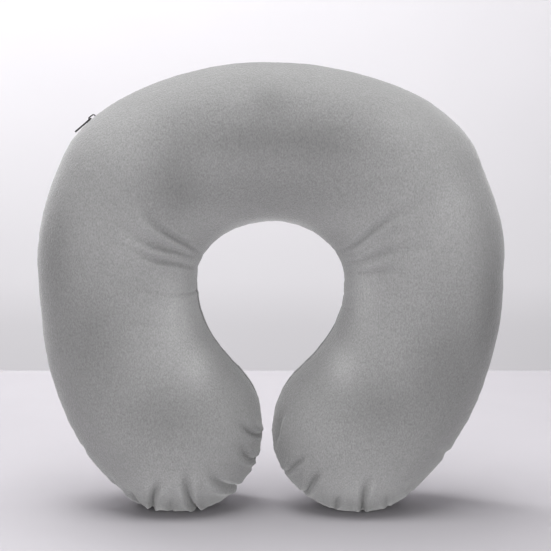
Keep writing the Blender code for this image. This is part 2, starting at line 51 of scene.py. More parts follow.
# ---------------------------------------------------------------- outline of the stuffed cover
TOP_Z = 0.2868
HALF_WIDTH = 0.150


class Side:
    """Named sizes of one half of the outline, fitted to the photographed silhouette."""

    def __init__(self, **sizes):
        self.__dict__.update(sizes)


LEFT = Side(top_radius=0.2299, top_angle=21.3, widest_z=0.1595, tip_radius=0.05490,
            tip_x=0.05815, tip_z=0.05155, tip_outer=226.4, tip_inner=404.2, hole_half=0.04790,
            hole_z=0.1500, hole_top=0.1861, shoulder=(0.350, 0.360), side=(0.370, 0.345),
            inner=(0.423, 0.379))
RIGHT = Side(top_radius=0.2439, top_angle=22.4, widest_z=0.1650, tip_radius=0.05515,
             tip_x=0.05835, tip_z=0.05175, tip_outer=225.0, tip_inner=404.2, hole_half=0.04730,
             hole_z=0.1488, hole_top=0.1861, shoulder=(0.350, 0.200), side=(0.350, 0.370),
             inner=(0.423, 0.379))

LEAN = 0.0026          # both tips sit this far to the left of the middle
STATIONS = 96          # along each half of the cushion
RIB = 40               # round each panel, from the outer to the inner seam


def step_up(value, low, high):
    """Smooth step from 0 to 1."""
    t = np.clip((value - low) / (high - low), 0, 1)
    return t * t * (3 - 2 * t)


def bezier(p0, d0, p1, d1, pull, count=300):
    """Cubic between two points with given directions."""
    p0, d0, p1, d1 = (np.asarray(v, float) for v in (p0, d0, p1, d1))
    chord = np.linalg.norm(p1 - p0)
    a = p0 + d0 * chord * pull[0]
    b = p1 - d1 * chord * pull[1]
    t = np.linspace(0, 1, count)[:, None]
    return (1 - t) ** 3 * p0 + 3 * (1 - t) ** 2 * t * a + 3 * (1 - t) * t * t * b + t ** 3 * p1


def spread(points, shares):
    """Points at shares of a polyline's length."""
    step = np.linalg.norm(np.diff(points, axis=0), axis=1)
    run = np.concatenate([[0], np.cumsum(step)])
    run /= run[-1]
    return np.stack([np.interp(shares, run, points[:, k]) for k in range(2)], 1)


def half_outline(s):
    """Matched outer and inner edge of one half, from the top centre to the tip, left-handed."""
    ang = math.radians(s.top_angle)
    t = np.linspace(0, ang, 200)
    centre = TOP_Z - s.top_radius
    top = np.stack([-s.top_radius * np.sin(t), centre + s.top_radius * np.cos(t)], 1)
    ao, ai = math.radians(s.tip_outer), math.radians(s.tip_inner)

    def tip(a):
        """Point of the round end at an angle."""
        return np.array([-s.tip_x + s.tip_radius * math.cos(a), s.tip_z + s.tip_radius * math.sin(a)])

    widest = (-HALF_WIDTH, s.widest_z)
    shoulder = bezier(top[-1], (-math.cos(ang), -math.sin(ang)), widest, (0, -1), s.shoulder)
    side = bezier(widest, (0, -1), tip(ao), (-math.sin(ao), math.cos(ao)), s.side)
    over = np.concatenate([top, shoulder[1:]])
    t = np.linspace(0, math.pi / 2, 200)
    hole = np.stack([-s.hole_half * np.sin(t), s.hole_z + (s.hole_top - s.hole_z) * np.cos(t)], 1)
    inner = bezier(hole[-1], (0, -1), tip(ai), (math.sin(ai), -math.cos(ai)), s.inner)
    pole = (ao + ai) / 2
    parts = []
    n_top, n_side = int(STATIONS * 0.42), int(STATIONS * 0.33)
    n_tip = STATIONS - n_top - n_side
    for outer_line, inner_line, count in ((over, hole, n_top), (side, inner, n_side)):
        shares = np.arange(count) / count
        parts.append((spread(outer_line, shares), spread(inner_line, shares)))
    shares = np.arange(n_tip + 1) / n_tip
    shares = np.sin(shares * math.pi / 2) * 0.35 + shares * 0.65
    parts.append((np.array([tip(ao + (pole - ao) * k) for k in shares]),
                  np.array([tip(ai + (pole - ai) * k) for k in shares])))
    outer = np.concatenate([p[0] for p in parts])
    inside = np.concatenate([p[1] for p in parts])
    return outer, inside


def full_outline():
    """Outer and inner edge from the left tip over the back to the right tip."""
    left_out, left_in = half_outline(LEFT)
    right_out, right_in = half_outline(RIGHT)
    flip = np.array([-1.0, 1.0])
    outer = np.concatenate([left_out[::-1], right_out[1:] * flip])
    inner = np.concatenate([left_in[::-1], right_in[1:] * flip])
    for line in (outer, inner):
        line[:, 0] -= LEAN * (1 - step_up(line[:, 1], 0.03, 0.13))
    return on_zip_arc(outer), inner


def on_zip_arc(outer):
    """Outer edge drawn more than half way to the zip's arc where the zip is sewn in."""
    offset = outer - np.array([0.0, ZIP_CENTRE_Z])
    radius = np.linalg.norm(offset, axis=1)
    angle = np.abs(np.arctan2(offset[:, 0], offset[:, 1]))
    share = 0.55 * (1 - step_up(angle, SLOT_END - 0.04, SLOT_END + 0.16))
    wanted = radius + (ZIP_RADIUS - radius) * share
    return np.array([0.0, ZIP_CENTRE_Z]) + offset * (wanted / radius)[:, None]


def ring_grid(inset=0.0):
    """The stuffed tube as a grid: stations by a closed ring that starts at the outer seam."""
    outer, inner = full_outline()
    middle = (outer + inner) / 2
    half = (outer - inner) / 2
    width = np.linalg.norm(half, axis=1)
    turn = np.linspace(0, 2 * math.pi, 2 * RIB, endpoint=False)
    cosine, sine = np.cos(turn), np.sin(turn)
    plump = np.sign(cosine) * np.abs(cosine) ** 0.94
    round_ = np.sign(sine) * np.abs(sine) ** 0.97
    grid = np.zeros((len(outer), 2 * RIB, 3))
    scale = np.maximum(width - inset, 0.0) / np.maximum(width, 1e-9)
    for k in range(2):
        grid[:, :, (0, 2)[k]] = middle[:, k, None] + half[:, k, None] * scale[:, None] * plump[None]
    grid[:, :, 1] = -(DEPTH_RATIO * width * scale)[:, None] * round_[None]
    return grid


def resample(grid, stations, ring):
    """Smooth (Catmull-Rom) values of a grid at fractional stations and ring places."""
    def blend(array, at, axis, closed):
        """Catmull-Rom values along one axis."""
        count = array.shape[axis]
        base = np.floor(at).astype(int)
        t = at - base
        total = 0
        weights = (-0.5 * t + t * t - 0.5 * t ** 3, 1 - 2.5 * t * t + 1.5 * t ** 3,
                   0.5 * t + 2 * t * t - 1.5 * t ** 3, -0.5 * t * t + 0.5 * t ** 3)
        for k, w in zip((-1, 0, 1, 2), weights):
            index = base + k
            index = index % count if closed else np.clip(index, 0, count - 1)
            shape = [1] * array.ndim
            shape[axis] = len(at)
            total = total + np.take(array, index, axis=axis) * w.reshape(shape)
        return total
    return blend(blend(grid, stations, 0, False), ring, 1, True)


def grid_normals(grid):
    """Outward normals of a ring grid."""
    along = np.zeros_like(grid)
    along[1:-1] = grid[2:] - grid[:-2]
    along[0] = grid[1] - grid[0]
    along[-1] = grid[-1] - grid[-2]
    around = np.roll(grid, -1, 1) - np.roll(grid, 1, 1)
    n = np.cross(along, around)
    n /= np.maximum(np.linalg.norm(n, axis=2, keepdims=True), 1e-12)
    middle = len(grid) // 2
    if n[middle, 0, 2] < 0:
        n = -n
    return n


# ---------------------------------------------------------------- folds and puckers
class Fold:
    """A fold of the plush: from a to b as (x, z), with a half width, a depth and a raised lip."""

    def __init__(self, a, b, width, depth, lip=0.35, lip_side=0, fade=0.35):
        self.a, self.b = np.array(a), np.array(b)
        self.width, self.depth = width, depth
        self.lip, self.lip_side = lip, lip_side
        self.fade = fade

    def height(self, x, z):
        """Signed height of the fold at points of the plane, and the painted shade that darkens its
        bottom.
        """
        along = self.b - self.a
        length = np.linalg.norm(along)
        along = along / length
        across = np.array([-along[1], along[0]])
        u = (x - self.a[0]) * along[0] + (z - self.a[1]) * along[1]
        bend = 0.12 * length * np.sin(np.clip(u / length, 0, 1) * math.pi)
        v = (x - self.a[0]) * across[0] + (z - self.a[1]) * across[1] - bend * 0.5
        start = 1 / (1 + np.exp(-(u + 0.10 * length) / (0.12 * length)))
        end = 1 / (1 + np.exp((u - length * (1 - self.fade * 0.4)) / (self.fade * 0.3 * length)))
        along_share = start * end
        narrow = self.width * (0.60 + 0.65 * np.clip(u / length, 0, 1))
        valley = np.exp(-(v / narrow) ** 2)
        lips = 0
        for side in (-1, 1):
            weight = 1.0 if self.lip_side in (0, side) else 0.2
            lips = lips + weight * np.exp(-((v - side * 1.9 * narrow) / (1.2 * narrow)) ** 2)
        return along_share * self.depth * (-valley + self.lip * lips), along_share * valley ** 2


MM = 0.001


def fold(x0, z0, x1, z1, width, depth, **more):
    """A fold with its sizes in millimetres; it starts at the seam end."""
    return Fold((x0 * MM, z0 * MM), (x1 * MM, z1 * MM), width * MM, depth * MM, **more)


FOLDS = [
    # left tip, round the bottom seam
    fold(-76.5, 2.0, -70.5, 25.0, 2.3, 4.6, lip=0.45),
    fold(-47.5, 0.5, -53.0, 30.0, 2.4, 4.8, lip=0.45),
    fold(-20.5, 13.5, -38.5, 30.0, 2.8, 3.6, lip=0.5, lip_side=1),
    fold(-8.0, 30.0, -19.0, 45.5, 2.0, 2.6),
    fold(-5.5, 48.5, -18.0, 60.0, 2.0, 2.8, lip=0.6, lip_side=-1),
    fold(-93.0, 8.0, -104.0, 26.0, 2.2, 1.6),
    fold(-84.5, 4.0, -90.0, 17.0, 1.8, 1.8),
    fold(-118.5, 31.0, -122.0, 43.0, 2.0, 1.0),
    fold(-64.0, 0.5, -62.5, 14.0, 2.0, 1.6),
    # right tip
    fold(22.5, 13.5, 30.0, 30.5, 2.4, 4.0),
    fold(59.0, 0.5, 61.0, 27.0, 2.2, 4.6),
    fold(41.0, 3.5, 43.5, 16.0, 2.0, 2.2),
    fold(11.0, 27.0, 21.0, 40.0, 1.8, 2.0, lip=0.6),
    fold(4.5, 50.0, 8.0, 66.0, 1.8, 1.6, lip=0.6, lip_side=-1),
    fold(91.0, 11.0, 87.0, 21.5, 2.0, 1.2),
    fold(117.0, 34.0, 107.0, 43.5, 3.0, 1.0),
    fold(75.5, 2.5, 74.0, 16.0, 2.0, 1.6),
    # left of the neck opening
    fold(-53.0, 175.0, -80.0, 199.0, 2.6, 2.3, lip=0.95, lip_side=1, fade=0.8),
    fold(-58.0, 170.5, -91.0, 185.5, 3.0, 2.2, lip=0.7, lip_side=1, fade=0.8),
    fold(-58.0, 162.0, -88.0, 174.5, 2.6, 2.0, lip=0.8, lip_side=1, fade=0.8),
    fold(-46.0, 141.5, -93.5, 151.5, 1.8, 1.1, lip=0.5, lip_side=1, fade=0.9),
    fold(-90.0, 150.0, -144.0, 147.5, 1.8, 0.25, lip=0.5, fade=0.9),
    fold(-60.0, 124.0, -88.0, 127.5, 2.2, 0.5, fade=0.9),
    fold(-70.0, 112.8, -84.0, 112.8, 2.2, 0.4, fade=0.9),
    # right of the neck opening
    fold(54.0, 176.0, 84.0, 196.0, 2.8, 2.0, lip=0.85, lip_side=-1, fade=0.8),
    fold(57.0, 164.5, 84.0, 172.5, 2.8, 1.6, lip=0.85, lip_side=1, fade=0.8),
    fold(58.0, 156.0, 80.0, 157.5, 2.6, 1.3, lip=0.8, lip_side=1, fade=0.8),
    fold(47.5, 131.5, 56.0, 129.0, 1.8, 0.6, fade=0.8),
    fold(147.0, 128.0, 141.0, 122.0, 1.8, 0.35, fade=0.8),
    # dimple at the top of the back
    fold(-0.5, 266.0, 4.0, 255.0, 7.0, 0.35, lip=0.3, fade=0.9),
]


def fold_field(points):
    """Height of every fold at each point and the painted shade in its bottom; the back panel has its
    own mirror set.
    """
    x, y, z = points[..., 0], points[..., 1], points[..., 2]
    height = np.zeros(x.shape)
    dark = np.zeros(x.shape)
    front = 1 / (1 + np.exp(y / 0.004))
    for index, item in enumerate(FOLDS):
        h, d = item.height(x, z)
        height += h * front
        dark += d * front * min(1.0, item.depth / 0.0025)
        h, d = item.height(-x * (1.0 + 0.03 * math.sin(index * 2.3)), z + 0.004 * math.sin(index * 1.7))
        keep = 0.55 + 0.45 * math.sin(index * 3.1) ** 2
        height += h * (1 - front) * keep
        dark += d * (1 - front) * keep * min(1.0, item.depth / 0.0025)
    return height, np.clip(dark, 0, 1)


# Patches of the pile, partly brushed pile and partly painted light and shade: x, z, half width, half
# height (mm), tone.  They were tuned against the photograph's brightness, so they also carry some
# shading that light and shape don't give.
NAP_AND_PAINTED_LIGHT = [
    (-18.0, 240.0, 42.0, 16.0, -0.25),
    (36.0, 238.0, 34.0, 18.0, -0.27),
    (0.0, 262.0, 13.0, 9.0, -0.15),
    (0.0, 208.0, 66.0, 15.0, -0.20),
    (-60.0, 210.0, 18.0, 30.0, -0.24),
    (-92.0, 240.0, 30.0, 22.0, 0.10),
    (88.0, 248.0, 26.0, 16.0, 0.14),
    (116.0, 205.0, 18.0, 30.0, 0.26),
    (0.0, 184.0, 44.0, 9.0, 0.20),
    (-84.0, 176.0, 10.0, 14.0, 0.08),
    (-56.0, 132.0, 14.0, 30.0, 0.44),
    (56.0, 146.0, 11.0, 28.0, 0.42),
    (-45.0, 98.0, 10.0, 13.0, 0.34),
    (44.0, 98.0, 10.0, 13.0, 0.34),
    (-136.0, 168.0, 14.0, 40.0, -0.22),
    (-110.0, 114.0, 26.0, 40.0, -0.32),
    (110.0, 100.0, 28.0, 44.0, -0.32),
    (143.0, 132.0, 14.0, 40.0, -0.36),
    (-64.0, 68.0, 34.0, 24.0, -0.30),
    (66.0, 72.0, 32.0, 26.0, -0.30),
    (-64.0, 16.0, 50.0, 13.0, 0.26),
    (56.0, 16.0, 50.0, 13.0, 0.26),
]


def nap_and_painted_light_tone(points):
    """Tone of the brushed pile together with painted light and shade, 0.5 where the pile stands up and
    nothing is painted; the back is left even.
    """
    x, y, z = (points[..., k] / MM for k in range(3))
    tone = np.zeros(x.shape)
    for at_x, at_z, wide, high, amount in NAP_AND_PAINTED_LIGHT:
        tone += amount * np.exp(-((x - at_x) / wide) ** 2 - ((z - at_z) / high) ** 2)
    return np.clip(0.5 + tone / (1 + np.exp(y / 4.0)), 0, 1)


def smooth_noise(points, scale, seed):
    """Perlin noise of a list of points."""
    shift = Vector((seed * 3.7, seed * 1.3, -seed * 2.1))
    flat = points.reshape(-1, 3)
    values = [noise.noise(Vector(p) * scale + shift) for p in flat.tolist()]
    return np.array(values).reshape(points.shape[:-1])


# ---------------------------------------------------------------- stuffing by cloth simulation
SIM_STEP = 2           # the simulation runs on every second station and ring place
CLOTH_FRAMES = 22
CLOTH_SHRINK = -0.020  # the plush is a little too large for its seams, so it gathers there
CLOTH_PRESSURE = 4.0
MOVE_LIMIT = 0.0065
SEAM_HOLD = 0.85       # share of the swelling past the seams that is taken back


def grid_mesh(name, grid):
    """Closed mesh of a ring grid; the two ends are single points."""
    stations, ring = grid.shape[:2]
    verts = [grid[0, 0]]
    verts += list(grid[1:-1].reshape(-1, 3))
    verts.append(grid[-1, 0])
    last = len(verts) - 1
    faces = []
    for s in range(stations - 3):
        for k in range(ring):
            n = (k + 1) % ring
            a = 1 + s * ring
            b = a + ring
            faces.append((a + k, a + n, b + n, b + k))
    for k in range(ring):
        n = (k + 1) % ring
        faces.append((0, 1 + n, 1 + k))
        end = 1 + (stations - 3) * ring
        faces.append((last, end + k, end + n))
    mesh = bpy.data.meshes.new(name)
    mesh.from_pydata([tuple(map(float, v)) for v in verts], [], faces)
    mesh.update()
    return mesh


def stuff(grid):
    """Pressure swells the closed cover between its seams; returns the moved grid."""
    coarse = grid[::SIM_STEP, ::SIM_STEP].copy()
    mesh = grid_mesh("stuffing_trial", coarse)
    item = bpy.data.objects.new("stuffing_trial", mesh)
    bpy.context.scene.collection.objects.link(item)
    stations, ring = coarse.shape[:2]
    pins = item.vertex_groups.new(name="seam")
    half = ring // 2
    seam = [0, len(mesh.vertices) - 1]
    for s in range(stations - 2):
        seam += [1 + s * ring, 1 + s * ring + half]
    pins.add(seam, 1.0, "REPLACE")
    cloth = item.modifiers.new("cloth", "CLOTH")
    settings = cloth.settings
    settings.quality = 5
    settings.mass = 0.3
    settings.tension_stiffness = 18
    settings.compression_stiffness = 18
    settings.shear_stiffness = 8
    settings.bending_stiffness = 0.35
    settings.use_pressure = True
    settings.uniform_pressure_force = CLOTH_PRESSURE
    settings.shrink_min = CLOTH_SHRINK
    settings.vertex_group_mass = "seam"
    settings.effector_weights.gravity = 0.0
    cloth.collision_settings.use_collision = False
    cloth.point_cache.frame_start = 1
    cloth.point_cache.frame_end = CLOTH_FRAMES
    scene = bpy.context.scene
    scene.frame_start = 1
    scene.frame_end = CLOTH_FRAMES
    for frame_number in range(1, CLOTH_FRAMES + 1):
        scene.frame_set(frame_number)
    graph = bpy.context.evaluated_depsgraph_get()
    moved = np.zeros(len(mesh.vertices) * 3)
    item.evaluated_get(graph).data.vertices.foreach_get("co", moved)
    moved = moved.reshape(-1, 3)
    scene.frame_set(1)
    bpy.data.objects.remove(item, do_unlink=True)
    result = coarse.copy()
    result[0] = moved[0]
    result[-1] = moved[-1]
    result[1:-1] = moved[1:-1].reshape(stations - 2, ring, 3)
    shift = result - coarse
    size = np.linalg.norm(shift, axis=2, keepdims=True)
    shift *= np.tanh(size / MOVE_LIMIT) * MOVE_LIMIT / np.maximum(size, 1e-9)
    shift = calm(shift)
    fine_s = np.arange(grid.shape[0]) / SIM_STEP
    fine_r = np.arange(grid.shape[1]) / SIM_STEP
    return hold_outline(grid, grid + resample(shift, fine_s, fine_r))


def calm(shift):
    """Evens out the swelling away from the seams, where the plush lies smooth."""
    ring = shift.shape[1]
    place = np.arange(ring) % (ring // 2)
    from_seam = np.minimum(place, ring // 2 - place)
    share = step_up(from_seam, 1.0, 5.0)[None, :, None]
    for _ in range(40):
        wide = (np.roll(shift, 1, 1) + np.roll(shift, -1, 1)) / 4
        wide[1:-1] += (shift[2:] + shift[:-2]) / 4
        wide[0] += shift[0] / 2
        wide[-1] += shift[-1] / 2
        shift = shift * (1 - share) + wide * share
    return shift


def hold_outline(grid, moved):
    """Takes back most of the swelling that would push the outline out past the seams."""
    middle = ((grid[:, 0] + grid[:, RIB]) / 2)[:, None]
    away = grid[:, 0] - grid[:, RIB]
    half = np.linalg.norm(away, axis=1)[:, None] / 2
    away = (away / np.maximum(2 * half, 1e-9))[:, None]
    before = ((grid - middle) * away).sum(2)
    after = ((moved - middle) * away).sum(2)
    near_seam = step_up(np.abs(before) / np.maximum(half, 1e-9), 0.45, 0.90)
    held = before + (after - before) * (1 - SEAM_HOLD * near_seam)
    moved = moved + away * (held - after)[..., None]
    pole = step_up(half, 0.012, 0.045)[..., None]
    return grid + (moved - grid) * (1 - SEAM_HOLD * (1 - pole))


# ---------------------------------------------------------------- fine surface of the cover
FINE = 0.3             # spacing of the fine stations, in coarse ones
SEAM_GAP = 0.00015
ZIP_EDGE = 0.0039
GROOVE = 0.0015
ZIP_GROOVE = 0.0002
ALLOWANCE = 0.0030
GATHER = 0.00012       # height of the gathers beside the outer seam, everywhere
GATHER_TIP = 0.00100   # and what is added round the tips
GATHER_SEAM = 0.00010  # and where there is no zip
GATHER_IN = 0.00018    # the same beside the inner seam
GATHER_TIP_IN = 0.00085
GATHER_HOLE = 0.00012
LUMPS = 0.0007         # broad unevenness of the stuffing
RIPPLES = 0.00018
HEM_ROUND = 0.0013     # how far the groove of a seam spreads
FLAT_ROUND = 0.0012    # rounding over the flat base
FLAT_LOW = -0.0005     # the base levels out between these two depths
FLAT_HIGH = 0.003


def ring_places():
    """Places of the rows of one panel, close together beside both seams."""
    near = [0.0, 0.12, 0.28, 0.48, 0.72, 1.0, 1.3, 1.65]
    inner = list(np.arange(2.05, RIB - 2.0, 0.4))
    return np.array(near + inner + [RIB - v for v in near[::-1]])


def run_length(points):
    """Running length along a line of points."""
    return np.concatenate([[0], np.cumsum(np.linalg.norm(np.diff(points, axis=0), axis=1))])


def wave(values, scale, seed):
    """Smooth one-dimensional noise."""
    return np.array([noise.noise(Vector((v * scale, seed * 5.1, seed * 1.7))) for v in values])


def zip_angle(grid):
    """Angle of each station on the zip's arc, counted from the top toward +X."""
    outer = grid[:, 0]
    return np.arctan2(outer[:, 0], outer[:, 2] - ZIP_CENTRE_Z)


def fine_panel(grid, side, inset=0.0, slot=True):
    """Rows of points of one panel (side -1 is the front) and the painted shade of each point, in fold
    bottoms and beside the seams.
    """
    places = ring_places()
    stations = np.arange(0, grid.shape[0] - 1 + FINE / 2, FINE)
    stations = np.clip(stations, 0, grid.shape[0] - 1)
    ring = places if side < 0 else (2 * RIB - places)
    points = resample(grid, stations, ring)
    centre_line = resample(grid, stations, np.array([0.0, float(RIB)]))
    outer_run = run_length(centre_line[:, 0])
    inner_run = run_length(centre_line[:, 1])
    normal = resample(grid_normals(grid), stations, ring)
    normal /= np.maximum(np.linalg.norm(normal, axis=2, keepdims=True), 1e-9)

    count = len(places)
    walk = np.linalg.norm(np.diff(points, axis=1), axis=2)
    from_outer = np.concatenate([np.zeros((len(points), 1)), np.cumsum(walk, 1)], 1)
    from_inner = from_outer[:, -1:] - from_outer
    angle = zip_angle(points)
    if slot:
        in_zip = 1 - step_up(np.abs(angle), SLOT_END - 0.004, SLOT_END + 0.012)
        in_zip *= (centre_line[:, 0, 2] > ABOVE_ARMS)
    else:
        in_zip = np.zeros(len(points))

    height, dark = fold_field(points)
    tip = 1 - step_up(centre_line[:, 0, 2], 0.035, 0.10)
    tip_in = 1 - step_up(centre_line[:, 1, 2], 0.050, 0.10)
    hole = step_up(centre_line[:, 1, 2], 0.125, 0.16)
    for run, near, amount, seed in (
            (outer_run, from_outer, GATHER + GATHER_TIP * tip + GATHER_SEAM * (1 - in_zip), 3),
            (inner_run, from_inner, GATHER_IN + GATHER_TIP_IN * tip_in + GATHER_HOLE * hole, 5)):
        gather = wave(run, 160.0, seed) + 0.7 * wave(run, 330.0, seed + side * 0.5 + 2)
        reach = 0.0055 + 0.006 * np.abs(wave(run, 90.0, seed + 9))
        height += (amount * gather)[:, None] * np.exp(-near / reach[:, None]) * 1.6
    lumps = smooth_noise(points, 26.0, 1 + side * 0.1)
    ripples = smooth_noise(points * np.array([1.0, 1.0, 1.6]), 85.0, 2)
    height += LUMPS * lumps + RIPPLES * ripples
    points = points + normal * height[..., None]

    # seam groove and the hem beside the zip
    tangent = np.gradient(centre_line[:, 0], axis=0)
    tangent_in = np.gradient(centre_line[:, 1], axis=0)
    out_way = np.stack([-tangent[:, 2], 0 * tangent[:, 0], tangent[:, 0]], 1)
    in_way = np.stack([tangent_in[:, 2], 0 * tangent[:, 0], -tangent_in[:, 0]], 1)
    for way in (out_way, in_way):
        way /= np.maximum(np.linalg.norm(way, axis=1, keepdims=True), 1e-9)
    groove = GROOVE * (1 + 0.35 * wave(outer_run, 120.0, 11)) * (1 - in_zip) + ZIP_GROOVE * in_zip
    groove_in = GROOVE * (1 + 0.35 * wave(inner_run, 120.0, 12))
    dip = groove[:, None] * np.exp(-(from_outer / HEM_ROUND) ** 1.5)
    dip_in = groove_in[:, None] * np.exp(-(from_inner / HEM_ROUND) ** 1.5)
    points = points - out_way[:, None] * dip[..., None] - in_way[:, None] * dip_in[..., None]
    # painted shade in the seam grooves, beside the outer and the inner seam
    dark = np.clip(dark + 0.6 * np.exp(-from_outer / 0.0016) + 0.6 * np.exp(-from_inner / 0.0016), 0, 1)
    edge = SEAM_GAP + (ZIP_EDGE - SEAM_GAP) * in_zip
    depth = np.sqrt(points[..., 1] ** 2 + edge[:, None] ** 2)
    depth_in = np.sqrt(points[..., 1] ** 2 + SEAM_GAP ** 2)
    share = np.linspace(0, 1, count)[None]
    points[..., 1] = side * np.where(share < 0.5, depth, depth_in)

    # allowances turned in behind both seams
    first = points[:, :1] - out_way[:, None] * ALLOWANCE
    last = points[:, -1:] - in_way[:, None] * ALLOWANCE
    points = np.concatenate([first, points, last], 1)
    dark = np.concatenate([dark[:, :1], dark, dark[:, -1:]], 1)
    if inset:
        pad = np.concatenate([normal[:, :1], normal, normal[:, -1:]], 1)
        points = points - pad * inset
    # flat where it stands
    low = points[..., 2] < inset + FLAT_ROUND
    soft = inset + FLAT_ROUND * np.exp((points[..., 2] - inset - FLAT_ROUND) / FLAT_ROUND)
    level = step_up(-points[..., 2], FLAT_LOW, FLAT_HIGH)
    points[..., 2] = np.where(low, soft * (1 - level) + inset * level, points[..., 2])
    return points, dark


def panel_object(name, points, dark, side, material):
    """Mesh object of one panel."""
    rows, count = points.shape[:2]
    verts = points.reshape(-1, 3)
    faces = []
    for r in range(rows - 1):
        base = r * count
        for k in range(count - 1):
            quad = (base + k, base + k + 1, base + count + k + 1, base + count + k)
            faces.append(quad if side < 0 else quad[::-1])
    mesh = bpy.data.meshes.new(name)
    mesh.from_pydata([tuple(map(float, v)) for v in verts], [], faces)
    # the fold attribute holds painted shade of fold bottoms and seam grooves; the second holds brushed
    # pile patches together with painted light and shade
    for label, values in (("fold", dark), ("nap_and_painted_light", nap_and_painted_light_tone(points))):
        attribute = mesh.attributes.new(label, "FLOAT", "POINT")
        attribute.data.foreach_set("value", values.reshape(-1).astype(np.float32))
    mesh.materials.append(material)
    mesh.shade_smooth()
    mesh.update()
    item = bpy.data.objects.new(name, mesh)
    bpy.context.scene.collection.objects.link(item)
    return item


# ---------------------------------------------------------------- materials
class Nodes:
    """Short way to write a node tree."""

    def __init__(self, name):
        self.material = bpy.data.materials.new(name)
        self.material.use_nodes = True
        self.tree = self.material.node_tree
        self.shader = self.tree.nodes["Principled BSDF"]
        self.coords = self.tree.nodes.new("ShaderNodeTexCoord").outputs["Object"]

    def add(self, kind, **settings):
        """New shader node of a kind."""
        node = self.tree.nodes.new("ShaderNode" + kind)
        for key, value in settings.items():
            setattr(node, key, value)
        return node

    def link(self, source, target):
        """Joins an output to an input."""
        self.tree.links.new(source, target)

    def feed(self, node, values):
        """Sets or links named inputs of a node."""
        for key, value in values.items():
            socket = node.inputs[key]
            if isinstance(value, bpy.types.NodeSocket):
                self.link(value, socket)
            else:
                socket.default_value = value

    def stretch(self, scale):
        """Object coordinates, scaled along each axis."""
        node = self.add("Mapping")
        self.feed(node, {"Vector": self.coords, "Scale": scale})
        return node.outputs["Vector"]

    def grain(self, vector, scale, detail=3.0, rough=0.5, distort=0.0):
        """Noise texture."""
        node = self.add("TexNoise")
        self.feed(node, {"Vector": vector, "Scale": scale, "Detail": detail, "Roughness": rough,
                         "Distortion": distort})
        return node.outputs["Fac"]

    def ramp(self, value, stops):
        """Colours for a value; each stop is a place and a colour."""
        node = self.add("ValToRGB")
        self.link(value, node.inputs["Fac"])
        ramp = node.color_ramp
        while len(ramp.elements) < len(stops):
            ramp.elements.new(0.5)
        for element, (place, colour) in zip(ramp.elements, stops):
            element.position = place
            element.color = (*colour, 1.0)
        return node.outputs["Color"]

    def math(self, operation, a, b):
        """Arithmetic on two values."""
        node = self.add("Math", operation=operation)
        for index, value in enumerate((a, b)):
            if isinstance(value, bpy.types.NodeSocket):
                self.link(value, node.inputs[index])
            else:
                node.inputs[index].default_value = value
        return node.outputs[0]

    def mix(self, share, a, b, mode="MIX"):
        """Mixes two colours."""
        node = self.add("Mix", data_type="RGBA", blend_type=mode)
        for index, value in ((0, share), (6, a), (7, b)):
            if isinstance(value, bpy.types.NodeSocket):
                self.link(value, node.inputs[index])
            elif index:
                node.inputs[index].default_value = (*value, 1.0)
            else:
                node.inputs[index].default_value = value
        return node.outputs[2]

    def bump(self, height, strength, distance, after=None):
        """Bump normal, on top of an earlier one."""
        node = self.add("Bump")
        self.feed(node, {"Height": height, "Strength": strength, "Distance": distance})
        if after is not None:
            self.link(after, node.inputs["Normal"])
        return node.outputs["Normal"]

    def surface(self, **values):
        """Sets or links the shader's inputs and returns the material."""
        for key, value in values.items():
            socket = self.shader.inputs[key.replace("_", " ")]
            if isinstance(value, bpy.types.NodeSocket):
                self.link(value, socket)
            else:
                socket.default_value = value
        return self.material


def grey(value):
    """Neutral colour."""
    return (value, value, value)


def plush_material():
    """Short velour: a very fine upright pile, with painted shade in its folds and seams, and patches of
    brushed pile and painted light and shade.
    """
    n = Nodes("grey_plush_velour")
    pile = n.grain(n.stretch((1.0, 1.0, 0.55)), 1350.0, 2.0, 0.6)
    tufts = n.grain(n.stretch((1.0, 1.0, 0.6)), 760.0, 2.0, 0.5, 0.4)
    clouds = n.grain(n.coords, 22.0, 2.0, 0.5)
    base = n.ramp(pile, [(0.30, grey(0.194)), (0.50, grey(0.238)), (0.70, grey(0.282))])
    wide = n.ramp(clouds, [(0.30, grey(0.975)), (0.70, grey(1.025))])
    base = n.mix(1.0, base, wide, "MULTIPLY")
    # painted shade: darker in the bottoms of folds and in the seam grooves
    fold = n.add("Attribute", attribute_name="fold")
    shade = n.ramp(fold.outputs["Fac"], [(0.0, grey(1.0)), (1.0, grey(0.78))])
    base = n.mix(1.0, base, shade, "MULTIPLY")
    # patches of brushed pile together with painted light and shade
    nap_and_painted_light = n.add("Attribute", attribute_name="nap_and_painted_light")
    brushed_and_painted_light = n.ramp(nap_and_painted_light.outputs["Fac"], [(0.0, grey(0.55)), (0.5, grey(1.0)), (1.0, grey(1.45))])
    base = n.mix(1.0, base, brushed_and_painted_light, "MULTIPLY")
    normal = n.bump(tufts, 0.60, 0.0007)
    normal = n.bump(pile, 0.65, 0.0004, normal)
    return n.surface(Base_Color=base, Roughness=0.92, Normal=normal, Sheen_Weight=0.45,
                     Sheen_Roughness=0.40, Sheen_Tint=(0.96, 0.96, 0.96, 1.0),
                     Specular_IOR_Level=0.15)


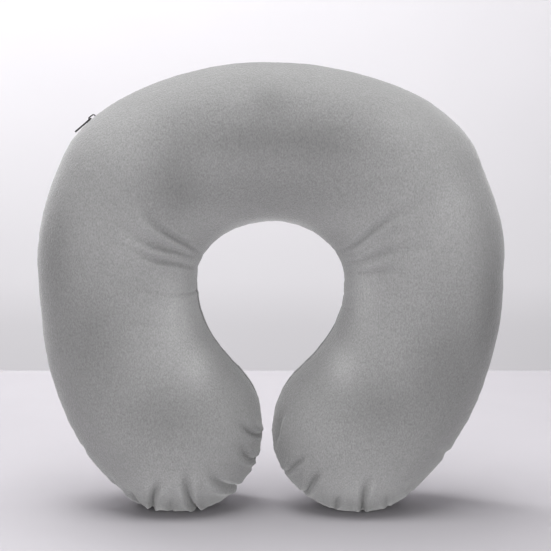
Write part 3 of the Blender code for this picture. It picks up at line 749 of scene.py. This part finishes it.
def lining_material():
    """White spun-bonded fabric with its dimpled bond pattern."""
    n = Nodes("white_nonwoven_lining")
    dots = n.add("TexVoronoi", feature="F1")
    n.feed(dots, {"Vector": n.coords, "Scale": 620.0, "Randomness": 0.15})
    fibres = n.grain(n.stretch((1.0, 0.5, 2.0)), 700.0, 4.0, 0.7)
    colour = n.ramp(fibres, [(0.3, grey(0.70)), (0.7, grey(0.86))])
    normal = n.bump(dots.outputs["Distance"], 0.5, 0.0003)
    normal = n.bump(fibres, 0.4, 0.0002, normal)
    return n.surface(Base_Color=colour, Roughness=0.85, Normal=normal)


def fibre_material():
    """Fluffed polyester filling."""
    n = Nodes("white_fibre_filling")
    curls = n.grain(n.coords, 140.0, 6.0, 0.75, 2.0)
    colour = n.ramp(curls, [(0.3, grey(0.72)), (0.7, grey(0.92))])
    return n.surface(Base_Color=colour, Roughness=1.0, Normal=n.bump(curls, 0.9, 0.002),
                     Sheen_Weight=0.3)


def thread_material(name, value):
    """Spun thread with its twist."""
    n = Nodes(name)
    twist = n.add("TexWave", wave_type="BANDS", bands_direction="DIAGONAL")
    n.feed(twist, {"Vector": n.coords, "Scale": 900.0, "Distortion": 1.0})
    colour = n.ramp(twist.outputs["Fac"], [(0.0, grey(value * 0.7)), (1.0, grey(value * 1.15))])
    return n.surface(Base_Color=colour, Roughness=0.7,
                     Normal=n.bump(twist.outputs["Fac"], 0.4, 0.0001), Sheen_Weight=0.2)


def tape_material():
    """Woven zip tape: fine herringbone ribs."""
    n = Nodes("grey_zip_tape")
    warp = n.add("TexWave", wave_type="BANDS", bands_direction="Y")
    n.feed(warp, {"Vector": n.coords, "Scale": 420.0, "Distortion": 0.6, "Detail": 1.0})
    weft = n.add("TexWave", wave_type="BANDS", bands_direction="DIAGONAL")
    n.feed(weft, {"Vector": n.coords, "Scale": 520.0, "Distortion": 0.4})
    both = n.math("MULTIPLY", warp.outputs["Fac"], weft.outputs["Fac"])
    colour = n.ramp(both, [(0.0, grey(0.13)), (1.0, grey(0.26))])
    return n.surface(Base_Color=colour, Roughness=0.9, Normal=n.bump(both, 0.6, 0.00015),
                     Specular_IOR_Level=0.2)


def nylon_material():
    """Coil wire: smooth grey nylon."""
    n = Nodes("grey_nylon_coil")
    fleck = n.grain(n.coords, 900.0, 2.0)
    colour = n.ramp(fleck, [(0.3, grey(0.17)), (0.7, grey(0.23))])
    return n.surface(Base_Color=colour, Roughness=0.5, Specular_IOR_Level=0.35,
                     Normal=n.bump(fleck, 0.1, 0.00005))


def metal_material():
    """Dark lacquered zinc with light wear."""
    n = Nodes("dark_lacquered_metal")
    wear = n.grain(n.coords, 700.0, 4.0, 0.7)
    colour = n.ramp(wear, [(0.35, grey(0.022)), (0.60, grey(0.034)), (0.80, grey(0.08))])
    rough = n.ramp(wear, [(0.3, grey(0.30)), (0.8, grey(0.48))])
    return n.surface(Base_Color=colour, Metallic=0.35, Roughness=rough,
                     Normal=n.bump(wear, 0.15, 0.00008))


def plain_stage(name, low, high, scale):
    """Painted floor or wall with barely visible mottling."""
    n = Nodes(name)
    mottle = n.grain(n.coords, scale, 3.0)
    return n.surface(Base_Color=n.ramp(mottle, [(0.3, low), (0.7, high)]), Roughness=0.75,
                     Specular_IOR_Level=0.25)


# ---------------------------------------------------------------- zip details
COIL_START = 0.022     # how far past the slider and short of the slot's end the coils run (radians)
COIL_END = 0.014
COIL_PITCH = 0.00127
COIL_STEPS = 9         # points in a turn
COIL_RISE = 0.00038    # half height of the flattened turns
COIL_OFFSET = 0.00095
COIL_REACH = 0.00120
COIL_WIRE = 0.00021
ZIP_STITCH_DEPTH = 0.0059      # from the middle of the zip to its stitching
ARCH = 1.3             # how deep a stitch's ends are sunk, in its own rises


def on_arc(angle, radius, depth):
    """Point on a circle about the zip's centre."""
    return Vector((math.sin(angle) * radius, depth, ZIP_CENTRE_Z + math.cos(angle) * radius))


def curve_object(name, lines, radius, material, sides=1):
    """Curves with a round section; each line is a list of points."""
    data = bpy.data.curves.new(name, "CURVE")
    data.dimensions = "3D"
    data.bevel_depth = radius
    data.bevel_resolution = sides
    data.use_fill_caps = True
    for line in lines:
        spline = data.splines.new("POLY")
        spline.points.add(len(line) - 1)
        for point, place in zip(spline.points, line):
            point.co = (*place, 1.0)
        spline.use_smooth = True
    data.materials.append(material)
    item = bpy.data.objects.new(name, data)
    bpy.context.scene.collection.objects.link(item)
    return item


def coil_line(side, phase):
    """Centre line of one coil: a flattened spiral whose loops reach past the middle."""
    start = -SLIDER_ANGLE - COIL_START
    end = SLOT_END - COIL_END
    turns = int((end - start) * ZIP_RADIUS / COIL_PITCH)
    centre = ZIP_RADIUS - (COIL_TOP + COIL_BOTTOM) / 2
    points = []
    for k in range(turns * COIL_STEPS):
        u = 2 * math.pi * k / COIL_STEPS
        angle = start + (k / COIL_STEPS + phase) * COIL_PITCH / ZIP_RADIUS
        points.append(on_arc(angle, centre + COIL_RISE * math.sin(u),
                             side * (COIL_OFFSET + COIL_REACH * math.cos(u))))
    return points


def stitch_lines(path, length, gap, sink, lift):
    """Splits a path into short arched stitches; path gives points by running length."""
    run = run_length(path)
    total = run[-1]
    lines = []
    at = 0.0
    while at + length < total:
        line = []
        for share in (0.0, 0.2, 0.5, 0.8, 1.0):
            place = at + share * length
            point = np.array([np.interp(place, run, path[:, k]) for k in range(3)])
            way = np.array([np.interp(place, run, lift[:, k]) for k in range(3)])
            line.append(Vector(point + way * (sink * (math.sin(math.pi * share) - ARCH))))
        lines.append(line)
        at += length + gap
    return lines


def zip_thread_lines(panel):
    """Line of stitching beside the zip, laid on a panel's own surface, and its outward direction."""
    path = []
    up = []
    for row in panel[:, 1:-1]:
        order = row[:len(row) // 2]
        depth = np.abs(order[:, 1])
        angle = math.atan2(order[0, 0], order[0, 2] - ZIP_CENTRE_Z)
        if order[0, 2] < ABOVE_ARMS or abs(angle) > SLOT_END:
            continue
        path.append([np.interp(ZIP_STITCH_DEPTH, depth, order[:, k]) for k in range(3)])
        up.append(np.array([math.sin(angle), 0.0, math.cos(angle)]))
    return np.array(path), np.array(up)


def seam_thread_path(grid, inset, which):
    """Centre line of a seam at a given inset, and its outward direction."""
    line = resample(grid, np.arange(0, grid.shape[0] - 1 + 0.2, 0.25).clip(0, grid.shape[0] - 1),
                    np.array([0.0, float(RIB)]))
    path = line[:, which]
    tangent = np.gradient(path, axis=0)
    way = np.stack([-tangent[:, 2], 0 * tangent[:, 0], tangent[:, 0]], 1)
    if which:
        way = -way
    way /= np.maximum(np.linalg.norm(way, axis=1, keepdims=True), 1e-9)
    path = path - way * inset
    path[:, 1] = 0
    path[:, 2] = np.maximum(path[:, 2], FLAT_ROUND)
    return path, way


def keep_node(name, material, bevel=None):
    """A CAD node that stays, with a better material and softened edges."""
    item = NODES[name]
    item.data.materials.clear()
    item.data.materials.append(material)
    if bevel:
        step = item.modifiers.new("edges", "BEVEL")
        step.width = bevel
        step.segments = 2
        step.limit_method = "ANGLE"
        step.angle_limit = math.radians(35)
        step.harden_normals = False


LINER_INSET = 0.0055   # liner, filling and threads, in from the cover's face
FILL_INSET = 0.0100
FILL_LUMPS = 0.0012
FILL_BASE = 0.0035
SEAM_INSET = 0.0019
LINER_SEAM_INSET = 0.0066
SEWN_PAST = 0.01       # the seam's thread starts this far past the zip (radians)
STITCH_RISE = 0.0003


def build_pillow():
    """Every visible piece of the pillow."""
    plush = plush_material()
    lining = lining_material()
    fibre = fibre_material()
    thread = thread_material("grey_seam_thread", 0.24)
    white = thread_material("white_seam_thread", 0.80)
    tape = tape_material()
    nylon = nylon_material()
    metal = metal_material()

    grid = ring_grid()
    grid = stuff(grid)

    for side, word in ((-1, "front"), (1, "back")):
        points, dark = fine_panel(grid, side)
        cover = panel_object("cover_" + word + "_plush", points, dark, side, plush)
        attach(cover, "pillow")
        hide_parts("cover_" + word + "_panel")

        path, up = zip_thread_lines(points)
        stitches = curve_object("zip_stitching_" + word, stitch_lines(path, 0.0022, 0.0007, 0.0004, up),
                                0.00022, thread)
        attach(stitches, "pillow")
        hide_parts("zip_stitch_" + word)

        points, dark = fine_panel(grid, side, inset=LINER_INSET, slot=False)
        liner = panel_object("liner_" + word + "_cloth", points[::2], dark[::2], side, lining)
        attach(liner, "pillow")
        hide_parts("liner_" + word + "_panel")

        coil = curve_object("zip_coil_wire_" + word, [coil_line(side, 0.0 if side < 0 else 0.5)],
                            COIL_WIRE, nylon, 0)
        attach(coil, "pillow")
        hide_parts("zip_coil_" + word)
        keep_node("zip_tape_" + word, tape)
        keep_node("zip_top_stop_" + word, metal, 0.00015)

    fill_grid = ring_grid(FILL_INSET)
    normal = grid_normals(fill_grid)
    lumps = smooth_noise(fill_grid, 60.0, 4)
    fill_grid = fill_grid + normal * (lumps * FILL_LUMPS)[..., None]
    fill_grid[..., 2] = np.maximum(fill_grid[..., 2], FILL_BASE)
    fill_mesh = grid_mesh("fibre_filling", fill_grid)
    fill_mesh.materials.append(fibre)
    fill_mesh.shade_smooth()
    filling = bpy.data.objects.new("fibre_filling", fill_mesh)
    bpy.context.scene.collection.objects.link(filling)
    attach(filling, "pillow")
    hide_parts("fibre_fill")

    path, way = seam_thread_path(grid, SEAM_INSET, 0)
    angle = np.arctan2(path[:, 0], path[:, 2] - ZIP_CENTRE_Z)
    sewn = (np.abs(angle) > SLOT_END + SEWN_PAST) | (path[:, 2] < ABOVE_ARMS)
    left = np.where(sewn & (path[:, 0] < 0))[0]
    right = np.where(sewn & (path[:, 0] >= 0))[0]
    inner_path, inner_way = seam_thread_path(grid, SEAM_INSET, 1)
    lines = []
    for part, line_way in ((path[left], way[left]), (path[right], way[right]), (inner_path, inner_way)):
        lines += stitch_lines(part, 0.0024, 0.0004, STITCH_RISE, line_way)
    seam = curve_object("cover_seam_stitches", lines, 0.0003, thread)
    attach(seam, "pillow")
    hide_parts("cover_seam_thread")

    liner_path, liner_way = seam_thread_path(grid, LINER_SEAM_INSET, 0)
    liner_inner, liner_inner_way = seam_thread_path(grid, LINER_SEAM_INSET, 1)
    lines = stitch_lines(liner_path, 0.0030, 0.0006, STITCH_RISE, liner_way)
    lines += stitch_lines(liner_inner, 0.0030, 0.0006, STITCH_RISE, liner_inner_way)
    liner_seam = curve_object("liner_seam_stitches", lines, 0.00025, white, 0)
    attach(liner_seam, "pillow")
    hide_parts("liner_seam_thread")

    keep_node("zip_bottom_stop", metal, 0.0002)
    keep_node("zip_slider_body", metal, 0.00018)
    keep_node("zip_pull_tab", metal, 0.00015)


# ---------------------------------------------------------------- room, light and camera
def plane(name, corners, material):
    """Flat piece of the stage."""
    mesh = bpy.data.meshes.new(name)
    mesh.from_pydata(corners, [], [(0, 1, 2, 3)])
    mesh.materials.append(material)
    item = bpy.data.objects.new(name, mesh)
    bpy.context.scene.collection.objects.link(item)
    return item


def area_light(name, place, target, size, power):
    """Soft rectangular light aimed at a point."""
    data = bpy.data.lights.new(name, "AREA")
    data.shape = "RECTANGLE"
    data.size, data.size_y = size
    data.energy = power
    item = bpy.data.objects.new(name, data)
    item.location = place
    item.rotation_euler = (Vector(target) - Vector(place)).to_track_quat("-Z", "Y").to_euler()
    bpy.context.scene.collection.objects.link(item)
    return item


def build_stage():
    """Pale table top before a wall, one large soft light from above and a weak front fill."""
    floor = plain_stage("pale_floor", (0.435, 0.420, 0.445), (0.450, 0.435, 0.460), 8.0)
    wall = plain_stage("pale_wall", (0.81, 0.79, 0.825), (0.83, 0.81, 0.845), 4.0)
    plane("floor", [(-3, -3, 0), (3, -3, 0), (3, 0.53, 0), (-3, 0.53, 0)], floor)
    plane("wall", [(-4, 1.4, -1.5), (4, 1.4, -1.5), (4, 1.4, 3.5), (-4, 1.4, 3.5)], wall)
    area_light("key", (-0.12, -0.14, 1.35), (0, 0, 0.20), (1.2, 0.9), 18.5)
    area_light("front_fill", (0.1, -1.6, 0.45), (0, 0, 0.14), (1.4, 1.0), 1.0)
    area_light("floor_bounce", (0.0, -0.75, 0.06), (0, 0, 0.03), (1.2, 0.1), 5.4)
    area_light("wall_wash", (-0.78, 0.75, 1.40), (-0.40, 1.40, 0.70), (2.2, 0.5), 23.5)
    world = bpy.data.worlds.new("soft_room")
    world.use_nodes = True
    world.node_tree.nodes["Background"].inputs[0].default_value = (1.0, 1.0, 1.0, 1.0)
    world.node_tree.nodes["Background"].inputs[1].default_value = 0.34
    bpy.context.scene.world = world
    bpy.context.scene.view_settings.view_transform = "Standard"


def build_camera():
    """Front view from slightly above."""
    elevation = math.radians(6.0)
    distance = 1.0
    frame_width = 0.3560
    target = Vector((0.0029, 0.0, 0.1510))
    data = bpy.data.cameras.new("camera")
    data.sensor_width = 36.0
    data.lens = data.sensor_width * distance / frame_width
    item = bpy.data.objects.new("camera", data)
    item.location = target + Vector((0.0, -math.cos(elevation), math.sin(elevation))) * distance
    item.rotation_euler = (target - item.location).to_track_quat("-Z", "Y").to_euler()
    bpy.context.scene.collection.objects.link(item)
    bpy.context.scene.camera = item


build_pillow()
build_stage()
build_camera()
